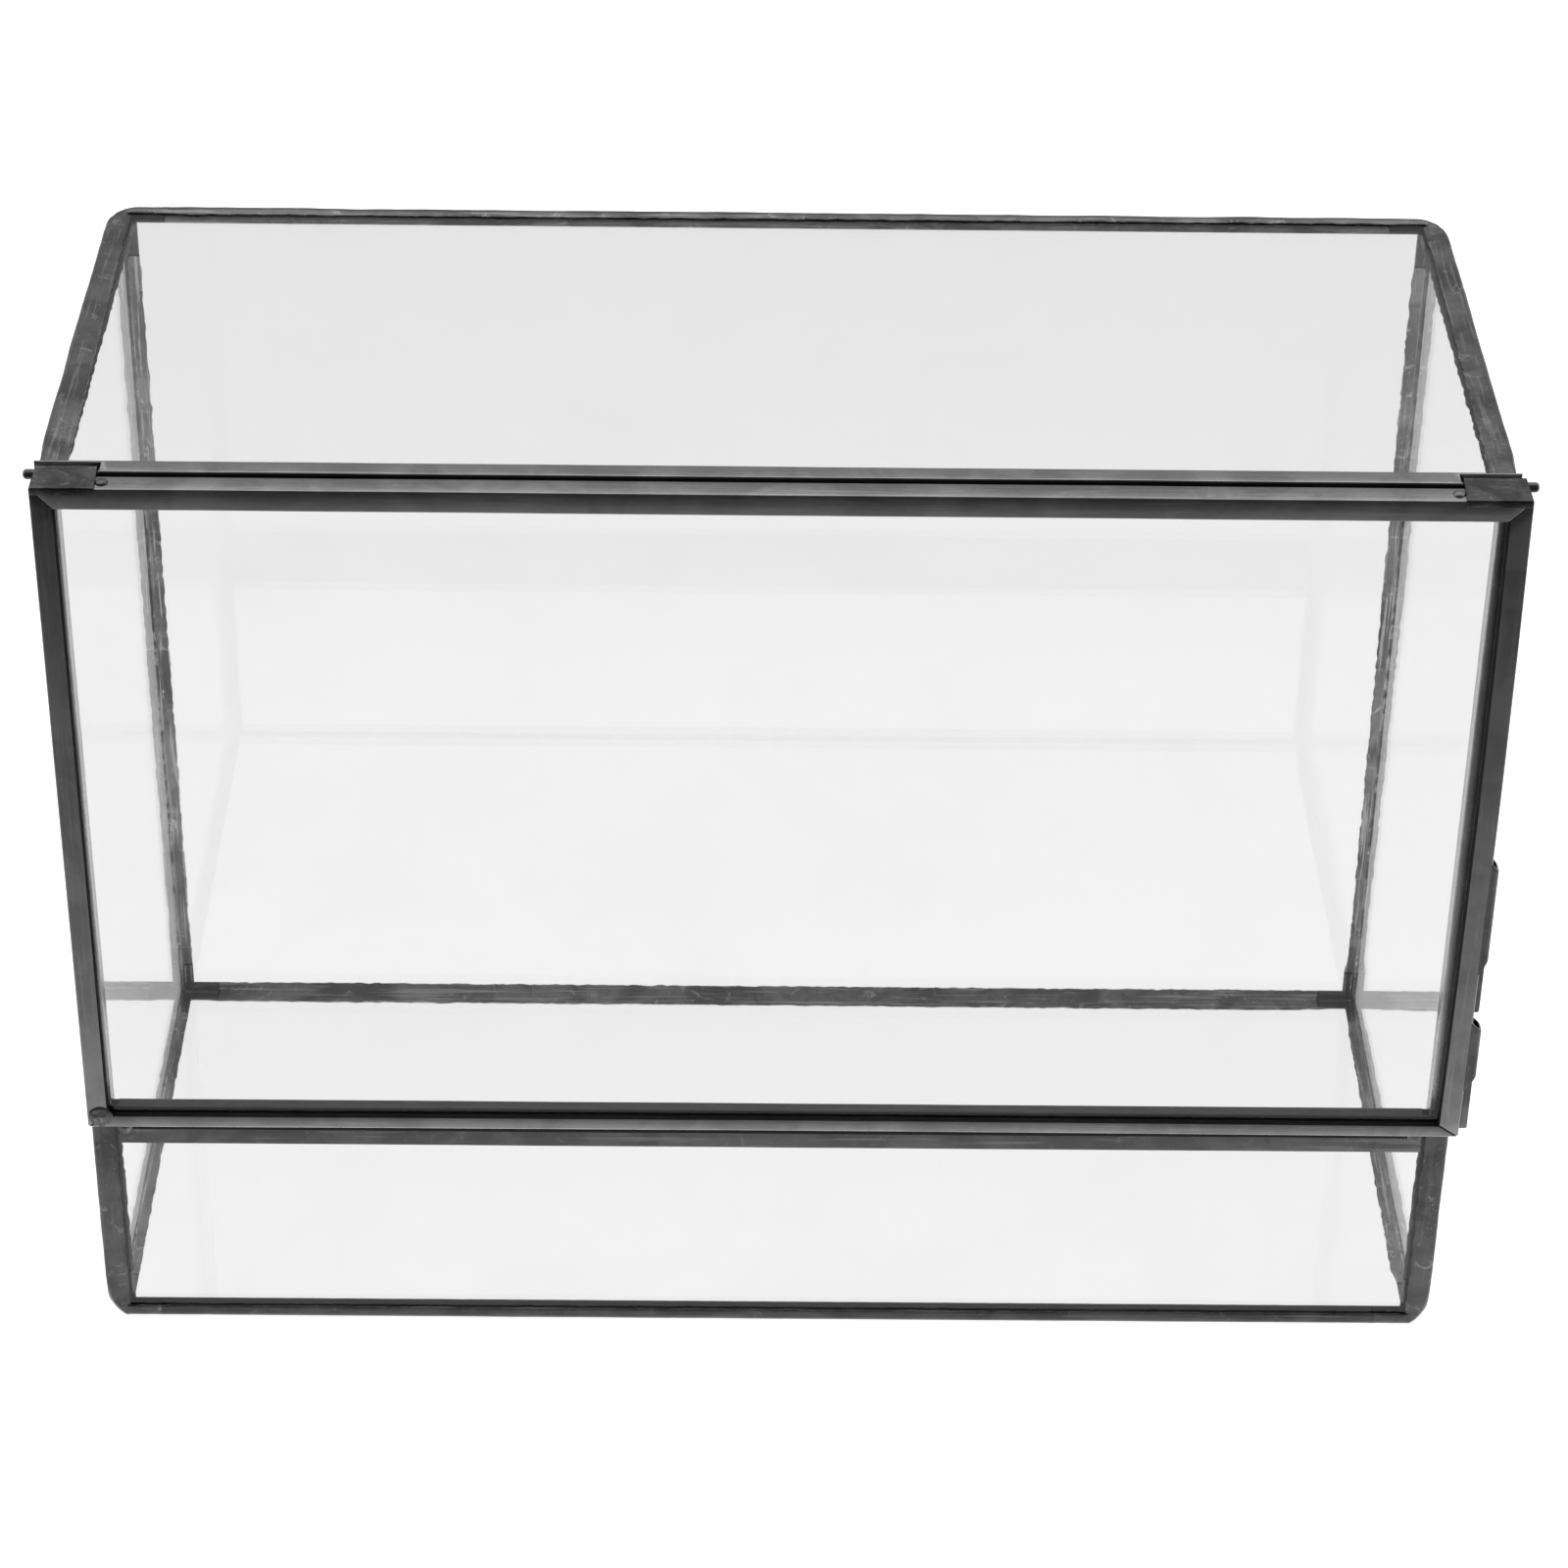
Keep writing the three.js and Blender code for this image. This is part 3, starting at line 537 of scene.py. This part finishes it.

# Cames, rails and the foil of the top pane: copies with softened edges and a hand-made waver. Inward is the
# way from a rail into the opening of the door, bow a slight bend, and line the heights of a painted shadow
# line on the sill.
bars = {
    "came_top_front": {"axis": "x", "edge": 0.12, "step": 5, "waver": 0.05},
    "came_sill": {"axis": "x", "edge": 0.15, "step": 5, "waver": 0.05, "look": sillLook,
                  "line": (54.2, 55.2)},
    "came_opening_left": {"axis": "z", "edge": 0.15, "step": 5, "waver": 0.05},
    "came_opening_right": {"axis": "z", "edge": 0.15, "step": 5, "waver": 0.05},
    "foil_top_front": {"axis": "x", "edge": 0.05, "step": 2, "waver": 0.05},
    "door_rail_top": {"axis": "x", "edge": 0.12, "step": 4, "waver": 0.04, "inward": (0, 0, -1)},
    "door_rail_bottom": {"axis": "x", "edge": 0.12, "step": 4, "waver": 0.04, "inward": (0, 0, 1),
                         "bow": ("z", 0.3)},
    "door_rail_left": {"axis": "z", "edge": 0.12, "step": 4, "waver": 0.04, "inward": (1, 0, 0)},
    "door_rail_right": {"axis": "z", "edge": 0.12, "step": 4, "waver": 0.04, "inward": (-1, 0, 0),
                        "bow": ("x", 0.5)},
}
barShape = {
    "rimSlant": 0.45, "rimFrom": 0.5, "waverSize": 28, "waverFade": 12, "axisApart": 50, "smooth": 30,
}

# Which faces of a bar get which look. The first four are shares of a face's normal along an axis, and the
# others depths in millimetres.
barFaces = {
    "square": 0.9, "half": 0.5, "slant": 0.3, "lowSlant": (-0.8, -0.15),
    "groove": 0.4, "rim": 0.2, "back": 0.1, "gap": 0.5,
}
# The second and third looks are painted shade, the fourth a painted highlight
looksOfBars = {"plain": 0, "paintedShade": 1, "inner": 2, "edge": 3}

paneFront, paneBack = (corner[1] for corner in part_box("door_glass"))
doorFront, doorBack = (corner[1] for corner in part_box("door_rail_left"))
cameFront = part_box("came_top_front")[0][1]


def rimOf(name, inward):
    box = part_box(name)
    k = [abs(n) for n in inward].index(1)
    return k, box[1][k] if inward[k] > 0 else box[0][k]


# The rim of the front flange is slanted into the opening; that face carries painted shade, a dark line
# between flange and pane
def slantRim(bm, name, inward):
    k, rim = rimOf(name, inward)
    for v in bm.verts:
        if abs(v.co[k] - rim) < slack and doorFront + barShape["rimFrom"] * mm < v.co.y < paneFront:
            v.co[k] += inward[k] * barShape["rimSlant"] * mm


def lookOfRail(name, inward, middle, normal, limits):
    k, rim = rimOf(name, inward)
    square, slant, groove = limits["square"], limits["slant"], limits["groove"] * mm
    low, high = limits["lowSlant"]
    atRim = (middle[k] - rim) * inward[k] > -limits["rim"] * mm
    # Painted highlight on the top rail's back top edge
    if name == "door_rail_top" and normal.z > slant and slant < normal.y < square:
        return "edge"
    # Painted shade: faces in the pane's groove, on the slanted rim and on the back of the rail
    if paneFront - groove < middle.y < paneBack + groove and abs(normal.y) > square:
        return "paintedShade"
    if atRim and doorFront + slack < middle.y < paneFront and normal[k] * inward[k] > slant:
        return "paintedShade"
    if normal.y > square and middle.y > doorBack - limits["back"] * mm:
        return "paintedShade"
    # Painted shade for the parts of the rail behind the pane
    if middle.y > paneBack:
        return "inner"
    # Painted highlight on the bottom rail's lower front edge, which faces the floor
    if name == "door_rail_bottom" and normal.y < -limits["half"] and low < normal.z < high:
        return "edge"
    return "plain"


def lookOfBar(name, d, face, limits):
    middle, normal = face.calc_center_median(), face.normal
    if "inward" in d:
        return lookOfRail(name, d["inward"], middle, normal, limits)
    square, half = limits["square"], limits["half"]
    # Painted shade in the gap between the door's top rail and the came, and on the sill's top under the
    # door's bottom rail
    atGap = middle.y < cameFront + limits["gap"] * mm and normal.y < -limits["slant"]
    if name == "came_top_front" and atGap and normal.z > -half:
        return "paintedShade" if normal.y < -square else "inner"
    if name == "came_sill" and normal.z > half:
        return "inner"
    # Painted shadow line on the sill's front, just below the door's bottom rail
    if "line" in d and normal.y < -square and d["line"][0] * mm < middle.z < d["line"][1] * mm:
        return "paintedShade"
    return "plain"


def waverBar(bm, name, d, shape):
    i = axes.index(d["axis"])
    low, high = extent(bm, i)
    seed = seedOf(name)
    for v in bm.verts:
        along = v.co[i]
        fade = ease(along - low, shape["waverFade"] * mm) * ease(high - along, shape["waverFade"] * mm)
        for k in range(3):
            if k != i:
                spot = Vector((along, k * mm * shape["axisApart"], 0))
                v.co[k] += d["waver"] * mm * fade * wobble(spot, shape["waverSize"], seed)
        if "bow" in d:
            axis, amount = d["bow"]
            v.co[axes.index(axis)] += amount * mm * math.sin(math.pi * (along - low) / (high - low))


for name, d in bars.items():
    bm = mergedCopy(name)
    if "inward" in d:
        slantRim(bm, name, d["inward"])
    softenEdges(bm, d["edge"])
    slices(bm, d["axis"], d["step"])
    for height in d.get("line", ()):
        cut(bm, (0, 0, height * mm), (0, 0, 1))
    bm.normal_update()
    for face in bm.faces:
        face.material_index = looksOfBars[lookOfBar(name, d, face, barFaces)]
    waverBar(bm, name, d, barShape)
    plain = d.get("look", (railLook if name.startswith("door") else cameLook)[d["axis"]])
    finish(name + "_patina", bm, name, (plain, paintedShadeLook, shadedInnerLook, edgeHighlightLook), barShape["smooth"])
print("cames and rails done")

# Sheet: hinge knuckles and spring clips, a little dented. Inner is the way to the middle of the door.
leaf = {"cuts": {"x": 0.6, "y": 0.6}, "edge": 0.1, "dent": 0.1, "dentSize": 4, "look": leafLook}
clip = {"cuts": {"z": 1.2}, "edge": 0.1, "dent": 0.1, "dentSize": 7, "look": clipLook}
sheets = {
    "hinge_knuckle_left": {**leaf, "inner": 1},
    "hinge_knuckle_right": {**leaf, "inner": -1},
    "latch_clip_lower": clip,
    "latch_clip_upper": clip,
}
leafLean = {"front": 0.3, "back": -0.2}
sheetSmooth = 40


def leanLeaf(bm, inner, lean):
    # The inner end of the leaf isn't cut square: it is longer in front and shorter behind
    outerEnd, innerEnd = extent(bm, 0)[::inner]
    front, back = extent(bm, 1)
    for v in bm.verts:
        share = (v.co.x - outerEnd) / (innerEnd - outerEnd)
        amount = lean["front"] + (lean["back"] - lean["front"]) * (v.co.y - front) / (back - front)
        v.co.x += inner * amount * mm * share


for name, d in sheets.items():
    bm = mergedCopy(name)
    softenEdges(bm, d["edge"])
    for axis, step in d["cuts"].items():
        slices(bm, axis, step)
    bm.normal_update()
    if "inner" in d:
        leanLeaf(bm, d["inner"], leafLean)
    for v in bm.verts:
        v.co.z += d["dent"] * mm * wobble(Vector((v.co.x, v.co.y, 0)), d["dentSize"], seedOf(name))
    finish(name + "_sheet", bm, name, (d["look"],), sheetSmooth)

# Hinge rod with rounded ends
rodShape = {"sides": 40, "round": 0.8, "segments": 6, "rimFrom": 60, "smooth": 40}


def addRod(shape):
    low, high = (Vector(corner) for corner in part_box("hinge_rod"))
    radius = (high.z - low.z) / 2
    bm = bmesh.new()
    bmesh.ops.create_cone(bm, cap_ends=True, segments=shape["sides"], radius1=radius, radius2=radius,
                          depth=high.x - low.x)
    rims = [e for e in bm.edges if e.calc_face_angle(0) > math.radians(shape["rimFrom"])]
    roundEdges(bm, rims, shape["round"], shape["segments"])
    bmesh.ops.rotate(bm, verts=bm.verts, cent=(0, 0, 0), matrix=Matrix.Rotation(math.pi / 2, 3, "Y"))
    bmesh.ops.translate(bm, verts=bm.verts, vec=(low + high) / 2)
    finish("hinge_rod_wire", bm, "hinge_rod", (rodLook,), shape["smooth"])


addRod(rodShape)

# Solder drops left on the metal
drops = ("solder_sill_left", "solder_sill_right", "solder_tack_left", "solder_tack_right",
         "solder_door_corner")
dropShape = {"step": 0.4, "dent": 0.12, "dentSize": 1.2, "smooth": 50}

for name in drops:
    bm = mergedCopy(name)
    for axis in axes:
        slices(bm, axis, dropShape["step"])
    bm.normal_update()
    for v in bm.verts:
        v.co += v.normal * dropShape["dent"] * mm * wobble(v.co, dropShape["dentSize"], seedOf(name))
    finish(name + "_drop", bm, name, (dropLook,), dropShape["smooth"])
print("sheet, rod and drops done")

# Floor: white where the camera sees it, with the part's soft shadow. Shown is what metal mirrors of it, as
# places along Y with their tones: dim in front of the case, like the room. A ray through glass counts as
# glossy too, so glass shows the same, but never darker than least. Sizes and places are in metres.
floorLook = {
    "size": 6, "glow": 0.86, "diffuse": 0.8, "least": 0.164,
    "shown": ((-0.6, 0.03), (-0.4, 0.12), (-0.2, 0.4), (-0.157, 0.6), (-0.1, 0.95)),
}


def tonesAlong(tree, y, tones):
    low, high = tones[0][0], tones[-1][0]
    ramp = add(tree, "ValToRGB")
    share = calc(tree, "DIVIDE", calc(tree, "SUBTRACT", y, low), high - low)
    tree.links.new(share, ramp.inputs["Fac"])
    stops = ramp.color_ramp.elements
    for n, (place, tone) in enumerate(tones):
        stop = stops[n] if n < 2 else stops.new(1)  # a new ramp has two stops
        stop.position = (place - low) / (high - low)
        stop.color = grey(tone)
    return ramp.outputs["Color"]


def addFloor(d):
    bpy.ops.mesh.primitive_plane_add(size=d["size"], location=(0, 0, 0))
    floor = bpy.context.object
    floor.name = "floor"
    made = newMaterial("floor_white")
    tree = made.node_tree
    tree.nodes.remove(tree.nodes["Principled BSDF"])
    path = add(tree, "LightPath").outputs
    y = add(tree, "SeparateXYZ", Vector=add(tree, "TexCoord").outputs["Object"]).outputs["Y"]
    seen = calc(tree, "MULTIPLY", path["Is Camera Ray"], d["glow"])
    through = calc(tree, "MULTIPLY", path["Is Transmission Ray"], d["least"])
    shown = calc(tree, "MULTIPLY", path["Is Glossy Ray"], tonesAlong(tree, y, d["shown"]))
    strength = calc(tree, "MAXIMUM", seen, calc(tree, "MAXIMUM", through, shown))
    plain = add(tree, "BsdfDiffuse", Color=grey(d["diffuse"]))
    black = add(tree, "BsdfDiffuse", Color=grey(0))
    base = mixShaders(tree, path["Is Glossy Ray"], plain, black)
    glow = add(tree, "Emission", Color=grey(1), Strength=strength)
    total = add(tree, "AddShader")
    tree.links.new(base.outputs[0], total.inputs[0])
    tree.links.new(glow.outputs[0], total.inputs[1])
    surface(tree, total)
    wear(floor, made)


addFloor(floorLook)
print("floor done")

# World: white to the camera, and light is what falls on the object. Front and back are the tones that metal
# and glass show of the room before and behind it, which blend between the slopes frontTo and backFrom.
worldLook = {"light": 0.3, "front": 0.08, "back": 0.38, "frontTo": -0.7, "backFrom": 0.5}


def addWorld(d):
    world = bpy.data.worlds.new("studio")
    scene.world = world
    world.use_nodes = True
    tree = world.node_tree
    path = add(tree, "LightPath").outputs
    y = add(tree, "SeparateXYZ", Vector=add(tree, "TexCoord").outputs["Generated"]).outputs["Y"]
    room = span(tree, y, d["frontTo"], d["backFrom"], d["front"], d["back"])
    strength = calc(tree, "MULTIPLY_ADD", path["Is Camera Ray"], 1 - d["light"], d["light"])
    strength = calc(tree, "MULTIPLY", strength, calc(tree, "SUBTRACT", 1, path["Is Glossy Ray"]))
    strength = calc(tree, "MULTIPLY_ADD", path["Is Glossy Ray"], room, strength)
    background = tree.nodes["Background"]
    background.inputs["Color"].default_value = grey(1)
    tree.links.new(strength, background.inputs["Strength"])


addWorld(worldLook)

# Soft lights: place, aim and size in metres, power in watts
lights = {
    "overhead": {"place": (0, 0.5, 1.4), "aim": (0, 0, 0.1), "size": (2.4, 1.6), "power": 10},
    "left_side": {"place": (-1.3, 0.1, 0.7), "aim": (0, 0, 0.1), "size": (1, 1), "power": 3},
    "right_side": {"place": (1.3, 0.1, 0.7), "aim": (0, 0, 0.1), "size": (1, 1), "power": 3},
}

for name, d in lights.items():
    lamp = bpy.data.lights.new(name, "AREA")
    lamp.shape = "RECTANGLE"
    lamp.size, lamp.size_y = d["size"]
    lamp.energy = d["power"]
    obj = bpy.data.objects.new(name, lamp)
    scene.collection.objects.link(obj)
    obj.location = d["place"]
    obj.rotation_euler = (Vector(d["aim"]) - Vector(d["place"])).to_track_quat("-Z", "Y").to_euler()
print("world and lights done")
